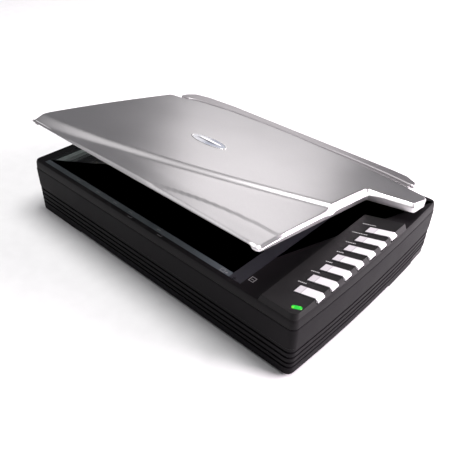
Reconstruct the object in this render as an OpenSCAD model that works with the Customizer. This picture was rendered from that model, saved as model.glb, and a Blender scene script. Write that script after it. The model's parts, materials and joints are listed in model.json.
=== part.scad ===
// A3 flatbed scanner: black body with a raised button panel, silver lid, optical carriage inside.
// Frame: +X to the button side, +Y to the hinges, +Z up, feet on z = 0.
// The origin is the centre of the footprint with the lid partly open.

/* [Body] */
// Width of the body, left end to the crown of the bowed right end
body_w = 589; // [580:1:600]
// Depth of the body, front face to back face
body_d = 383; // [380:1:390]
// Height of the bezel that the glass lies in
bezel_z = 101.3; // [100:0.1:103]
// Height of the seam between the lower and the upper housing
seam_z = 87.4; // [86:0.1:89]
// Height of the top of the raised button panel
panel_z = 110; // [109:0.5:112]
// Height of the lower edge of the side walls
skirt_z = 4; // [3:0.5:5]
// Radius of the vertical corners
corner_r = 11; // [9:1:14]
// How far the right end bows out between its corners
side_bow = 6; // [4:0.5:8]
// Depth of the grooves that run round the lower housing
groove_depth = 2.2; // [1:0.1:2.4]

/* [Glass] */
// Left edge of the glass
glass_left = -274; // [-278:1:-270]
// Right edge of the glass
glass_right = 169; // [160:1:172]
// Front edge of the glass
glass_front = -171; // [-174:1:-168]
// Back edge of the glass
glass_back = 138; // [132:1:140]
// Thickness of the glass
glass_t = 3; // [2.5:0.5:3]

/* [Lid] */
// Angle that the lid stands open
lid_open = 10.57; // [0:0.01:60]
// Distance of the hinge axis behind the middle of the body
axis_y = 186; // [185:0.5:187]
// Height of the hinge axis
axis_z = 108; // [107.5:0.5:109]
// Height of the lower edge of the closed lid
lid_rim_z = 103.2; // [103:0.1:104]
// Width of the bevel round the lid
lid_bevel = 5; // [3:0.5:6]
// Thickness of the lid's skin
lid_skin = 2.5; // [2:0.1:3]

/* [Buttons] */
// Number of buttons
button_count = 7; // [7:1:7]
// Distance between the buttons
button_pitch = 29.1; // [27:0.1:30]
// Width of a button
button_w = 15; // [12:0.5:16]
// Slant of the first button's long edges
slant_first = 15.5; // [10:0.5:20]
// Slant of the last button's long edges
slant_last = 22.5; // [18:0.5:24]
// Travel of a button
button_travel = 1.2; // [0.8:0.1:1.3]

/* [Carriage] */
// Width of the scan carriage
carriage_w = 66; // [60:1:68]
// Radius of the guide rod
rod_r = 4; // [3:0.5:4.5]
// Running clearance of the bushings on the rod
rod_fit = 0.05; // [0.02:0.01:0.08]

/* [Drive] */
// Module of the gears
gear_module = 1; // [1:1:1]
// Teeth of the motor pinion
pinion_teeth = 12; // [12:1:12]
// Teeth of the drive gear
gear_teeth = 36; // [36:1:36]
// Pitch radius of the belt pulleys
pulley_r = 10; // [10:1:10]
// Width of the belt
belt_w = 6; // [5:0.5:6]

/* [Hidden] */
$fn = 48;

big = 1000;
touch = 0.01;
half_w = body_w / 2;
half_d = body_d / 2;
corner_steps = 4;
bow_steps = 6;

// Walls
wall = 2.5;
floor_t = 3;
floor_z = skirt_z + floor_t;
cavity_inset = wall + groove_depth + 0.7;
plate_t = 4;
plate_z = bezel_z - plate_t;
top_inset = 3.2;
ledge = 5;

// Rear cover of the lid, with the lid closed
cover_t = 2.5;
cover_back = 207.5;
cover_lip_z = 112.5;
cover_top_z = 119.5;

// The footprint's middle lies at y = 0
rear_reach = axis_y + (cover_back - axis_y) * cos(lid_open) + (cover_lip_z - axis_z) * sin(lid_open);
body_shift = (half_d - rear_reach) / 2;

// Hinges
hinge_x = [-172, 150];
pin_r = 2;
knuckle_r = 5;
knuckle_w = 24;
ear_t = 4;
post_w = 30;
post_front = 173.2;
post_back = 183.8;
post_foot_z = 50;
post_gap = 0.4;
fit = 0.06;

// Button row
first_button_y = -137.4;
first_button_x = 255.8;
last_button_x = 253.6;
cap_z = 111.4;
slot_gap = 0.45;
switch_x = 268;
button_board_z = 92;
board_t = 1.6;
stem_z = 100.3;

// Carriage and its tracks
carriage_x = -239;
carriage_front = -164;
carriage_back = 144;
carriage_z = 28;
carriage_top = 88;
rod_y = 152;
rod_z = 34;
rail_front = -177;
rail_back = -168;
rail_z = 34;
track_end = 284;

// Belt drive
belt_y = 160;
belt_t = 0.9;
belt_in_r = pulley_r - belt_t / 2;
pulley_gap = 0.2;
drive_x = 236;
drive_z = 56;
idler_x = -272;
stud_r = 2;
gear_y = 168;
gear_w = 6;
centre_dist = gear_module * (pinion_teeth + gear_teeth) / 2;
motor_x = drive_x + 22;
motor_z = drive_z + sqrt(centre_dist * centre_dist - pow(motor_x - drive_x, 2));
motor_angle = atan2(motor_z - drive_z, motor_x - drive_x);
motor_r = 20;
motor_front = 104;
bracket_y = 142;
bracket_t = 2;
shaft_r = 2.5;

// Rear connectors
board_z = 12;
port_z = board_z + board_t;
port_face = 190.4;
usb_x = 204;
jack_x = 228;
jack_z = 19.5;
jack_r = 3.2;
jack_mouth = 5;
switch_pos = [256, 187, 21];
switch_tilt = 10;

// Points and outlines -------------------------------------------------------------------------

function arc_pts(cx, cy, r, a0, a1, n) =
    [for (i = [0:n]) let(a = a0 + (a1 - a0) * i / n) [cx + r * cos(a), cy + r * sin(a)]];

function unit(v) = v / norm(v);

// Moves every edge of a counter-clockwise outline inwards by d
function inset_pts(pts, d) =
    let(n = len(pts))
    [for (i = [0:n - 1])
        let(b = pts[i],
            e1 = unit(b - pts[(i + n - 1) % n]),
            e2 = unit(pts[(i + 1) % n] - b),
            n1 = [-e1[1], e1[0]],
            m = unit(n1 + [-e2[1], e2[0]]))
        b + m * d / (m * n1)];

function scale_pts(pts, centre, k) = [for (p = pts) centre + (p - centre) * k];

function at_height(pts, z) = [for (p = pts) [p[0], p[1], z]];

// How far the bowed end falls back at y, for a bow of a given depth
function bow(y, depth) = depth * pow(y / half_d, 2);

function body_pts() =
    let(r = corner_r, y = half_d - r, x = half_w - bow(y, side_bow) - r)
    concat(
        arc_pts(-half_w + r, -y, r, 180, 270, corner_steps),
        arc_pts(x, -y, r, 270, 360, corner_steps),
        [for (k = [1:bow_steps - 1]) let(v = y * (2 * k / bow_steps - 1)) [half_w - bow(v, side_bow), v]],
        arc_pts(x, y, r, 0, 90, corner_steps),
        arc_pts(-half_w + r, y, r, 90, 180, corner_steps));

// The panel's outline: t = 0 at its foot on the bezel, t = 1 at its top
panel_left = [226.5, 229.5];
panel_front = [-188.3, -185.5];
panel_right = [291.3, 286.3];
panel_bow = [6, 2];
panel_end_y = 83;
panel_end_slope = tan(20.6);
panel_r = 9;

function panel_pts(t, d = 0) =
    let(x0 = panel_left[t] + d, y0 = panel_front[t] + d, r = panel_r - d,
        x1 = panel_right[t] - d, y1 = panel_end_y - d,
        xc = x1 - bow(y0 + r, panel_bow[t]) - r)
    concat(
        [[x0, y0]],
        arc_pts(xc, y0 + r, r, 270, 360, corner_steps),
        [for (k = [1:4]) let(v = y0 + r + (y1 - y0 - r) * k / 4) [x1 - bow(v, panel_bow[t]), v]],
        [[x0, y1 - (x1 - x0) * panel_end_slope]]);

// The lid's outline at its rim
lid_left = -290.5;
lid_right = 220;
lid_front = -188;
notch = [217.3, 80.6];
arm_front = [285.8, 106.4];
arm_back = 158;
lid_back = 165;
lid_corner_r = 9;

function lid_pts() =
    let(r = lid_corner_r)
    concat(
        arc_pts(lid_left + r, lid_front + r, r, 180, 270, 3),
        arc_pts(lid_right - r, lid_front + r, r, 270, 360, 3),
        [notch, arm_front, [284.9, 138]],
        arc_pts(268.5, 142, 16, 0, 70, 3),
        [[238, 163], [180, lid_back], [-200, lid_back], [-256, 156]],
        arc_pts(lid_left + r, 136, r, 90, 180, 3));

// The raised middle of the lid ends in a bowed back edge
lid_bow_y = 176;
lid_bow_x = 15;
lid_bow_drop = 27;

function lid_back_y(x) = lid_bow_y - lid_bow_drop * pow((x - lid_bow_x) / 280, 2);

// and starts at a slanted step
function plateau_pts() =
    concat(
        [[-284, -158], [-120, -138], [60, -84], [196, -22], [210, -8], [209, 88], [277, 113], [277, 134]],
        [for (k = [0:9]) let(x = 268 - k * 59) [x, lid_back_y(x)]],
        [[-284, 132]]);

// The rear cover fills the crescent behind the bowed edge
function cover_pts() =
    concat(
        [for (k = [0:9]) let(x = -275 + k * 58.6) [x, lid_back_y(x) + 1]],
        [[249, 176], [242, 190], [228, 202], [205, cover_back], [-175, cover_back],
         [-240, 200], [-262, 190], [-270, 178]]);

module loft(rings) {
    n = len(rings[0]);
    m = len(rings);
    sides = [for (j = [0:m - 2], i = [0:n - 1])
        let(a = j * n + i, b = j * n + (i + 1) % n, c = b + n, d = a + n)
        each [[a, d, c], [a, c, b]]];
    floor_face = [[for (i = [0:n - 1]) i]];
    top_face = [[for (i = [n - 1:-1:0]) (m - 1) * n + i]];
    polyhedron([for (ring = rings) each ring], concat(floor_face, top_face, sides), convexity = 6);
}

module slab(z0, z1) {
    translate([0, 0, z0])
        linear_extrude(height = z1 - z0)
            children();
}

module block(low, high) {
    translate(low)
        cube(high - low);
}

// Places -------------------------------------------------------------------------------------

module on_body() {
    translate([0, body_shift, 0])
        children();
}

module on_lid() {
    on_body()
        translate([0, axis_y, axis_z])
            rotate([-lid_open, 0, 0])
                translate([0, -axis_y, -axis_z])
                    children();
}

module along_x(x0, x1, y, z, r) {
    translate([x0, y, z])
        rotate([0, 90, 0])
            cylinder(r = r, h = x1 - x0);
}

module along_y(x, y0, y1, z, r) {
    translate([x, y1, z])
        rotate([90, 0, 0])
            cylinder(r = r, h = y1 - y0);
}

// A side view, drawn as [y, z], made solid from x0 to x1
module side_view(x0, x1) {
    translate([x0, 0, 0])
        rotate([90, 0, 90])
            linear_extrude(height = x1 - x0)
                children();
}

// A front view, drawn as [x, z], made solid from y0 to y1
module front_view(y0, y1) {
    translate([0, y1, 0])
        rotate([90, 0, 0])
            linear_extrude(height = y1 - y0)
                children();
}

// Housings -----------------------------------------------------------------------------------

groove_z = [17, 25.5, 35.3, 45];
rib_inset = 0.8;
seam_gap = 0.5;
screw_spots = [[-278, -182], [0, -182], [274, -182], [-278, 181], [20, 181], [277, 176]];
board_posts = [[116, 102], [224, 102], [116, 170], [190, 170]];
lock_pos = [-240, -60];

module housing_body() {
    o = body_pts();
    loft(concat(
        [at_height(inset_pts(o, rib_inset), skirt_z)],
        [for (z = groove_z) each [
            at_height(inset_pts(o, rib_inset), z - 1.8),
            at_height(inset_pts(o, rib_inset + groove_depth), z - 1),
            at_height(inset_pts(o, rib_inset + groove_depth), z + 1),
            at_height(inset_pts(o, rib_inset), z + 1.8)]],
        [at_height(inset_pts(o, rib_inset), 51.5),
         at_height(inset_pts(o, 0.2), 52.5),
         at_height(o, seam_z - seam_gap - 2),
         at_height(inset_pts(o, 0.6), seam_z - seam_gap)]));
}

// The side walls reach almost to the ground at two corners
module skirt_drops() {
    o = inset_pts(body_pts(), rib_inset + 0.15);
    intersection() {
        slab(0.6, skirt_z + 1)
            difference() {
                polygon(o);
                polygon(inset_pts(o, 3));
            }
        union() {
            block([-half_w, -half_d, 0], [-186, -100, 10]);
            block([100, 64, 0], [half_w, 140, 10]);
            block([-half_w, 100, 0], [-200, half_d, 10]);
        }
    }
}

// The rubber corner foot is let into the skirt at the rear right corner
foot_start_y = 141;
foot_left_x = 274;
foot_top_z = 15.2;
foot_sunk = 2;
foot_inner = 3.1;

module corner_recess() {
    intersection() {
        slab(skirt_z - 1, foot_top_z)
            difference() {
                square([big, big], center = true);
                polygon(inset_pts(body_pts(), foot_inner));
            }
        block([foot_left_x, foot_start_y, 0], [big, big, 20]);
    }
}

module lower_housing() {
    on_body() color([0.09, 0.085, 0.095])
        difference() {
            union() {
                difference() {
                    housing_body();
                    slab(floor_z, seam_z)
                        polygon(inset_pts(body_pts(), cavity_inset));
                    corner_recess();
                }
                skirt_drops();
                for (p = screw_spots)
                    translate([p[0], p[1], floor_z - touch])
                        cylinder(r = 4.5, h = 70);
                for (p = board_posts)
                    translate([p[0], p[1], floor_z - touch])
                        cylinder(r = 3, h = board_z - floor_z + touch);
                for (x = [-280, 0, 276])
                    block([x, rail_front, floor_z - touch], [x + 4, rail_back, rail_z - 4]);
            }
            for (p = screw_spots) {
                translate([p[0], p[1], 0])
                    cylinder(r = 3.4, h = skirt_z + 2);
                translate([p[0], p[1], 0])
                    cylinder(r = 1.6, h = 24);
            }
            block([lock_pos[0] - 3, lock_pos[1] - 4, 0], [lock_pos[0] + 12, lock_pos[1] + 4, 10]);
            block([188, 180, 9], [272, 200, 34]);
        }
}

module upper_housing() {
    o = body_pts();
    on_body() color([0.12, 0.11, 0.12])
        difference() {
            union() {
                difference() {
                    loft([
                        at_height(inset_pts(o, 0.7), seam_z),
                        at_height(inset_pts(o, 1.6), bezel_z - 4),
                        at_height(inset_pts(o, top_inset), bezel_z)]);
                    slab(seam_z - 1, plate_z)
                        polygon(inset_pts(o, cavity_inset));
                }
                for (y = [-150, -50, 50])
                    translate([284.5, y, button_board_z + board_t])
                        cylinder(r = 2.2, h = plate_z - button_board_z - board_t + touch);
            }
            block([glass_left, glass_front, bezel_z - 0.3 - glass_t], [glass_right, glass_back, bezel_z + 1]);
            block([glass_left + ledge, glass_front + ledge, 80],
                  [glass_right - ledge, glass_back - ledge, bezel_z + 1]);
            block([234, -181, 80], [281, 56, bezel_z + 1]);
            block([ruler_left, ruler_front, bezel_z - ruler_sink], [ruler_right, ruler_back, bezel_z + 1]);
            block([strip_left, ruler_front, bezel_z - ruler_sink], [strip_right, glass_back, bezel_z + 1]);
            for (x = hinge_x)
                block([x - post_w / 2 - post_gap, post_front - post_gap, 80],
                      [x + post_w / 2 + post_gap, post_back + post_gap, bezel_z + 1]);
        }
}

module button_panel() {
    on_body() color([0.07, 0.07, 0.075])
        difference() {
            loft([at_height(panel_pts(0), bezel_z), at_height(panel_pts(1), panel_z)]);
            loft([at_height(panel_pts(0, 2.4), bezel_z - touch), at_height(panel_pts(1, 2.4), panel_z - 2.2)]);
            for (i = [0:button_count - 1])
                intersection() {
                    slab(bezel_z + 0.6, cap_z + 5)
                        polygon(button_plan(i, slot_gap));
                    block([200, -half_d, 0], [half_w + 10, half_d, 200]);
                }
            translate([led_pos[0], led_pos[1], 0])
                rotate(led_turn)
                    slab(bezel_z, cap_z)
                        capsule(led_len, led_wide + 0.2);
        }
}

ruler_left = -271;
ruler_right = 173;
ruler_front = -181;
ruler_back = -171.4;
strip_left = 169.4;
strip_right = 190;
ruler_sink = 0.6;
ruler_proud = 0.1;

module scan_glass() {
    on_body() color([0.55, 0.62, 0.6, 0.4])
        block([glass_left + 0.2, glass_front + 0.2, bezel_z - 0.3 - glass_t],
              [glass_right - 0.2, glass_back - 0.2, bezel_z - 0.3]);
}

module glass_gasket() {
    on_body() color([0.15, 0.15, 0.15])
        difference() {
            block([glass_left - 3, glass_front - 3, plate_z - 1], [glass_right + 3, glass_back + 3, plate_z]);
            block([glass_left + ledge, glass_front + ledge, 0], [glass_right - ledge, glass_back - ledge, big]);
        }
}

module front_ruler() {
    on_body() color([0.24, 0.27, 0.29])
        block([ruler_left, ruler_front, bezel_z - ruler_sink], [strip_left - 0.2, ruler_back, bezel_z + ruler_proud]);
}

module side_ruler() {
    on_body() color([0.14, 0.14, 0.16])
        block([strip_left, ruler_front, bezel_z - ruler_sink], [strip_right, glass_back, bezel_z + ruler_proud]);
}

module calibration_strip() {
    on_body() color([0.95, 0.95, 0.94])
        block([glass_left + ledge + 1, glass_front + ledge + 2, bezel_z - 0.3 - glass_t - 0.4],
              [glass_left + ledge + 12, glass_back - ledge - 2, bezel_z - 0.3 - glass_t]);
}

led_pos = [276.3, -172.6];
led_len = 14;
led_wide = 6.4;
led_turn = 28;

module capsule(l, w) {
    for (s = [-1, 1])
        translate([s * (l - w) / 2, 0])
            circle(d = w);
    square([l - w, w], center = true);
}

module status_led() {
    on_body() color([0.1, 0.75, 0.2])
        translate([led_pos[0], led_pos[1], 0])
            rotate(led_turn) {
                slab(bezel_z + 0.2, panel_z + 0.3)
                    capsule(led_len, led_wide);
            }
}

module rubber_feet() {
    o = inset_pts(body_pts(), rib_inset);
    on_body() color([0.04, 0.04, 0.04]) {
        slab(0, skirt_z)
            for (p = [[-181, -182.6], [-181, 182.6]])
                translate(p)
                    square([9, 15], center = true);
        slab(0, skirt_z)
            translate([284, 58])
                square([15, 9], center = true);
        slab(0, skirt_z)
            translate([-284, 58])
                square([15, 9], center = true);
        intersection() {
            difference() {
                slab(0, foot_top_z - 0.2)
                    polygon(inset_pts(body_pts(), foot_sunk));
                slab(skirt_z, 20)
                    polygon(inset_pts(body_pts(), foot_inner));
                slab(-1, skirt_z + 1)
                    polygon(inset_pts(body_pts(), corner_r - 2));
            }
            block([foot_left_x + 0.5, foot_start_y + 0.5, 0], [half_w, half_d, 20]);
        }
        for (p = [[262, -166], [-262, -120], [-262, 150]])
            translate([p[0], p[1], 0])
                cylinder(r = 9, h = skirt_z);
    }
}

module housing_screws() {
    on_body() color([0.6, 0.6, 0.62])
        for (p = screw_spots)
            translate([p[0], p[1], skirt_z + 0.2]) {
                cylinder(r = 3, h = 1.8);
                cylinder(r = 1.5, h = 15);
            }
}

// Electronics --------------------------------------------------------------------------------

module main_board() {
    on_body() color([0.05, 0.35, 0.15])
        difference() {
            block([110, 96, board_z], [236, 178, board_z + board_t]);
            block([227, 90, 0], [big, bracket_y + bracket_t + 2, big]);
            for (p = board_posts)
                translate([p[0], p[1], 0])
                    cylinder(r = 1.5, h = 30);
        }
}

module board_chips() {
    on_body() color([0.08, 0.08, 0.09]) {
        block([140, 112, port_z], [164, 136, port_z + 2.2]);
        block([174, 112, port_z], [194, 122, port_z + 1.8]);
        block([174, 128, port_z], [188, 138, port_z + 1.8]);
        block([122, 148, port_z], [146, 154, port_z + 7]);
        for (x = [206, 218])
            translate([x, 120, port_z])
                cylinder(r = 4, h = 9);
    }
}

module button_board() {
    on_body() color([0.05, 0.35, 0.15])
        block([256, -160, button_board_z], [285, 62, button_board_z + board_t]);
}

module tact_switches() {
    z = button_board_z + board_t;
    on_body() color([0.25, 0.25, 0.27])
        for (i = [0:button_count - 1])
            translate([switch_x, button_mid_y(i), z]) {
                translate([-3, -3, 0])
                    cube([6, 6, 3.6]);
                cylinder(r = 1.7, h = 5.2);
            }
}

module port_plate() {
    on_body() color([0.1, 0.1, 0.11])
        difference() {
            block([188.2, 188.2, 9.2], [271.8, port_face, 33.8]);
            block([usb_x - 6.2, 180, port_z - 0.2], [usb_x + 6.2, 200, port_z + 11.2]);
            block([jack_x - 5.7, 180, port_z - 0.2], [jack_x + 5.7, 200, port_z + 11.2]);
            block([switch_pos[0] - 9.2, 180, switch_pos[2] - 8.2], [switch_pos[0] + 9.2, 200, switch_pos[2] + 8.2]);
        }
}

module usb_socket() {
    on_body() color([0.75, 0.76, 0.78]) {
        difference() {
            block([usb_x - 6, 174, port_z], [usb_x + 6, port_face, port_z + 11]);
            block([usb_x - 4.2, 177, port_z + 1.4], [usb_x + 4.2, 200, port_z + 9.2]);
        }
        block([usb_x - 2.8, 177 - touch, port_z + 3.6], [usb_x + 2.8, 185, port_z + 6.8]);
    }
}

module dc_jack() {
    on_body() color([0.05, 0.05, 0.05]) {
        difference() {
            block([jack_x - 5.5, 176, port_z], [jack_x + 5.5, port_face, port_z + 11]);
            along_y(jack_x, port_face - jack_mouth, 200, jack_z, jack_r);
            along_y(jack_x, 178, 200, jack_z, jack_r - 0.7);
        }
        along_y(jack_x, 178 - touch, port_face - jack_mouth - 0.5, jack_z, 1);
    }
}

module switch_frame() {
    p = switch_pos;
    on_body() color([0.06, 0.06, 0.06])
        difference() {
            block([p[0] - 9, 177, p[2] - 8], [p[0] + 9, port_face + 0.6, p[2] + 8]);
            block([p[0] - 7.4, 179, p[2] - 6], [p[0] + 7.4, 200, p[2] + 6]);
            translate([p[0], p[1], p[2] - 7])
                cylinder(r = 1 + fit, h = 14);
        }
}

module power_switch() {
    on_body() color([0.04, 0.04, 0.04])
        translate(switch_pos)
            rotate([0, 0, switch_tilt]) {
                translate([0, 0, -5.6])
                    linear_extrude(height = 11.2)
                        polygon([[-6, -2.4], [6, -2.4], [6.2, 3.6], [0, 2.6], [-6.2, 3.6]]);
                translate([0, 0, -6.8])
                    cylinder(r = 1, h = 13.6);
            }
}

// The knob on the underside that locks the carriage for transport
module transport_lock() {
    x = lock_pos[0];
    y = lock_pos[1];
    on_body() color([0.85, 0.5, 0.1]) {
        block([x - 2.6, y - 3.6, skirt_z - 0.5], [x + 3.4, y + 3.6, 22]);
        block([x - 8, y - 8, skirt_z - 2.2], [x + 8, y + 8, skirt_z - 0.4]);
        block([x - 6, y - 7, floor_z + 0.4], [x + 6, y + 7, floor_z + 2]);
    }
}

// Tracks and belt drive -------------------------------------------------------------------------

module guide_rod() {
    on_body() color([0.8, 0.8, 0.82])
        along_x(-track_end, track_end, rod_y, rod_z, rod_r);
}

module rod_clamps() {
    on_body() color([0.1, 0.1, 0.11])
        for (x = [-track_end, track_end - 7])
            difference() {
                block([x, rod_y - 8, floor_z], [x + 7, rod_y + 8, rod_z + 8]);
                along_x(x - 1, x + 8, rod_y, rod_z, rod_r + 0.02);
            }
}

module support_rail() {
    on_body() color([0.7, 0.7, 0.72])
        block([-track_end, rail_front, rail_z - 4], [track_end, rail_back, rail_z]);
}

module stepper_motor() {
    on_body() color([0.55, 0.55, 0.57])
        difference() {
            union() {
                along_y(motor_x, motor_front, bracket_y, motor_z, motor_r);
                along_y(motor_x, bracket_y - touch, bracket_y + 3, motor_z, 5);
            }
            along_y(motor_x, motor_front + 10, 200, motor_z, shaft_r + fit);
        }
}

module motor_bracket() {
    on_body() color([0.75, 0.75, 0.77]) {
        difference() {
            block([228.5, bracket_y, floor_z], [282, bracket_y + bracket_t, motor_z + 22]);
            along_y(motor_x, 0, 300, motor_z, 5.2);
        }
        block([228.5, bracket_y - 14, floor_z], [282, bracket_y, floor_z + bracket_t]);
        along_y(drive_x, bracket_y + 1, gear_y + gear_w + 2, drive_z, stud_r);
    }
}

module loop_2d(r) {
    translate([drive_x, drive_z])
        circle(r = r);
    translate([idler_x, drive_z])
        circle(r = r);
    translate([idler_x, drive_z - r])
        square([drive_x - idler_x, 2 * r]);
}

module drive_belt() {
    on_body() color([0.1, 0.1, 0.1])
        front_view(belt_y, belt_y + belt_w)
            difference() {
                loop_2d(belt_in_r + belt_t);
                loop_2d(belt_in_r);
            }
}

module pulley(x) {
    difference() {
        union() {
            along_y(x, belt_y - 0.5, belt_y + belt_w + 0.5, drive_z, belt_in_r - pulley_gap);
            along_y(x, belt_y + belt_w + 0.5 - touch, belt_y + belt_w + 1.5, drive_z, pulley_r + 2);
        }
        along_y(x, 100, 200, drive_z, stud_r + fit);
    }
}

// Teeth are a little thin, so that the pair turns freely
function gear_pts(teeth, turn) =
    let(r = gear_module * teeth / 2, a = 90 / teeth)
    [for (k = [0:teeth - 1]) let(c = turn + k * 360 / teeth)
        each [
            (r - 1.25 * gear_module) * [cos(c - 1.1 * a), sin(c - 1.1 * a)],
            (r + 0.75 * gear_module) * [cos(c - 0.4 * a), sin(c - 0.4 * a)],
            (r + 0.75 * gear_module) * [cos(c + 0.4 * a), sin(c + 0.4 * a)],
            (r - 1.25 * gear_module) * [cos(c + 1.1 * a), sin(c + 1.1 * a)]]];

module drive_gear() {
    on_body() color([0.9, 0.88, 0.82]) {
        pulley(drive_x);
        difference() {
            front_view(gear_y, gear_y + gear_w)
                translate([drive_x, drive_z])
                    polygon(gear_pts(gear_teeth, motor_angle + 180 / gear_teeth));
            along_y(drive_x, 100, 200, drive_z, stud_r + fit);
        }
        difference() {
            along_y(drive_x, belt_y + belt_w + 1, gear_y + touch, drive_z, 6);
            along_y(drive_x, 100, 200, drive_z, stud_r + fit);
        }
    }
}

module motor_pinion() {
    on_body() color([0.8, 0.7, 0.4]) {
        front_view(gear_y, gear_y + gear_w)
            translate([motor_x, motor_z])
                polygon(gear_pts(pinion_teeth, motor_angle + 180));
        along_y(motor_x, motor_front + 20, gear_y + touch, motor_z, shaft_r);
    }
}

module idler_pulley() {
    on_body() color([0.9, 0.88, 0.82])
        pulley(idler_x);
}

module idler_bracket() {
    y = gear_y + 1;
    on_body() color([0.75, 0.75, 0.77]) {
        block([idler_x - 8, y, floor_z], [idler_x + 8, y + 3, drive_z + 8]);
        block([idler_x - 8, y, floor_z], [idler_x + 8, y + 6, floor_z + 3]);
        along_y(idler_x, belt_y - 1.5, y + touch, drive_z, stud_r);
    }
}

module belt_spring() {
    on_body() color([0.8, 0.8, 0.82])
        for (k = [0:4])
            translate([idler_x + 8.6 + k * 1.1, gear_y + 7, 30])
                rotate([0, 90, 0])
                    rotate_extrude()
                        translate([3.4, 0])
                            circle(r = 0.6, $fn = 16);
}

// Scan carriage ------------------------------------------------------------------------------

car_left = carriage_x - carriage_w / 2;
car_right = carriage_x + carriage_w / 2;

module carriage_housing() {
    on_body() color([0.08, 0.08, 0.08])
        difference() {
            block([car_left, carriage_front, carriage_z], [car_right, carriage_back, carriage_top - 2]);
            block([car_left + 2, carriage_front + 2, carriage_z + 2], [car_right - 2, carriage_back - 2, 200]);
        }
}

module carriage_cover() {
    on_body() color([0.33, 0.3, 0.26])
        difference() {
            block([car_left, carriage_front, carriage_top - 2], [car_right, carriage_back, carriage_top]);
            block([car_right - 24, carriage_front + 8, 0], [car_right - 8, carriage_back - 8, 200]);
        }
}

module lamp_tube() {
    on_body() color([0.97, 0.97, 0.93])
        along_y(car_right - 12, carriage_front + 6, carriage_back - 6, carriage_top - 6, 1.5);
}

module lamp_reflector() {
    on_body() color([0.85, 0.85, 0.87])
        translate([car_right - 12, 0, carriage_top - 6])
            front_view(carriage_front + 6, carriage_back - 6)
                intersection() {
                    difference() {
                        circle(r = 4);
                        circle(r = 3.2);
                    }
                    translate([-5, -6])
                        square([10, 5]);
                }
}

module mirrors() {
    spots = [[-218, 38, 45], [-262, 70, -30], [-224, 56, 20], [-264, 44, 10]];
    on_body() color([0.75, 0.8, 0.85])
        for (s = spots)
            translate([s[0], 0, s[1]])
                rotate([0, s[2], 0])
                    translate([-1, carriage_front + 14, -5])
                        cube([2, carriage_back - carriage_front - 28, 10]);
}

module lens_barrel() {
    on_body() color([0.12, 0.12, 0.13])
        difference() {
            along_x(-250, -232, 0, 46, 9);
            along_x(-251, -231, 0, 46, 6);
        }
}

module sensor_board() {
    on_body() color([0.05, 0.35, 0.15])
        block([-257, -45, 31], [-255.4, 45, 60]);
}

module sensor_chip() {
    on_body() color([0.3, 0.25, 0.22])
        block([-255.4, -30, 42], [-252.6, 30, 50]);
}

module carriage_bushings() {
    on_body() color([0.78, 0.62, 0.3])
        for (x = [car_left, car_right - 16])
            difference() {
                union() {
                    along_x(x, x + 16, rod_y, rod_z, 7);
                    block([x, carriage_back, carriage_z], [x + 16, rod_y, rod_z + 6]);
                }
                along_x(x - 1, x + 17, rod_y, rod_z, rod_r + rod_fit);
            }
}

module glide_pad() {
    on_body() color([0.9, 0.9, 0.88])
        block([carriage_x - 12, rail_front - 1, rail_z + 0.3], [carriage_x + 12, carriage_front, rail_z + 5]);
}

module belt_clip() {
    strand = drive_z + belt_in_r;
    on_body() color([0.85, 0.85, 0.83])
        difference() {
            block([carriage_x - 9, carriage_back, strand - 4], [carriage_x + 9, belt_y + belt_w + 1.4, strand + 5]);
            block([carriage_x - 10, belt_y - 0.6, strand - 0.4],
                  [carriage_x + 10, belt_y + belt_w + 2, strand + belt_t + 0.4]);
        }
}

// Hinges and lid -----------------------------------------------------------------------------

module hinge_sockets() {
    on_body() color([0.1, 0.1, 0.11])
        for (x = hinge_x)
            difference() {
                block([x - post_w / 2 - 3, post_front - 2.6, 44], [x + post_w / 2 + 3, post_back + 2.2, plate_z]);
                block([x - post_w / 2 - post_gap, post_front - post_gap, 46],
                      [x + post_w / 2 + post_gap, post_back + post_gap, big]);
            }
}

module hinge_posts() {
    on_body() color([0.12, 0.12, 0.13])
        for (x = hinge_x) {
            block([x - post_w / 2, post_front, post_foot_z], [x + post_w / 2, post_back, bezel_z + 0.6]);
            difference() {
                side_view(x - knuckle_w / 2, x + knuckle_w / 2) {
                    translate([axis_y, axis_z])
                        circle(r = knuckle_r);
                    polygon([[post_front, bezel_z], [post_back, bezel_z], [axis_y + 3, axis_z - 3.6],
                             [axis_y, axis_z + 2], [axis_y - 5, axis_z + 1], [post_front, axis_z - 3]]);
                }
                along_x(x - 50, x + 50, axis_y, axis_z, pin_r + fit);
            }
        }
}

module hinge_brackets() {
    inner = knuckle_w / 2 + 0.5;
    on_lid() color([0.12, 0.12, 0.13])
        for (x = hinge_x) {
            block([x - 24, lid_back + 0.2, lid_rim_z + 1.4], [x + 24, lid_back + 3, 113]);
            for (s = [-1, 1])
                difference() {
                    side_view(x + s * (inner + ear_t / 2) - ear_t / 2, x + s * (inner + ear_t / 2) + ear_t / 2) {
                        translate([axis_y, axis_z])
                            circle(r = knuckle_r);
                        polygon([[lid_back + 1, lid_rim_z + 1.4], [axis_y, axis_z - knuckle_r + 0.2],
                                 [axis_y, axis_z + knuckle_r - 0.1], [lid_back + 1, 113]]);
                    }
                    along_x(x - 50, x + 50, axis_y, axis_z, pin_r);
                }
        }
}

module hinge_pins() {
    half = knuckle_w / 2 + 0.5 + ear_t + 0.8;
    on_lid() color([0.8, 0.8, 0.82])
        for (x = hinge_x)
            along_x(x - half, x + half, axis_y, axis_z, pin_r);
}

liner_z = 104.2;
// Heights of the lid's layers, closed: the shelf that the liner lies against, the rim, the bevel
lid_shelf_z = 107;
lid_rim_top_z = 109;
lid_bevel_top_z = 112;
lid_ledge_top_z = 114;
lid_ceiling_z = 111.5;
lid_top_z = 118;
lid_crown_z = 122;
lid_middle = [-10, 20];
front_cut = 5;
back_cut = [40, 26];

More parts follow.
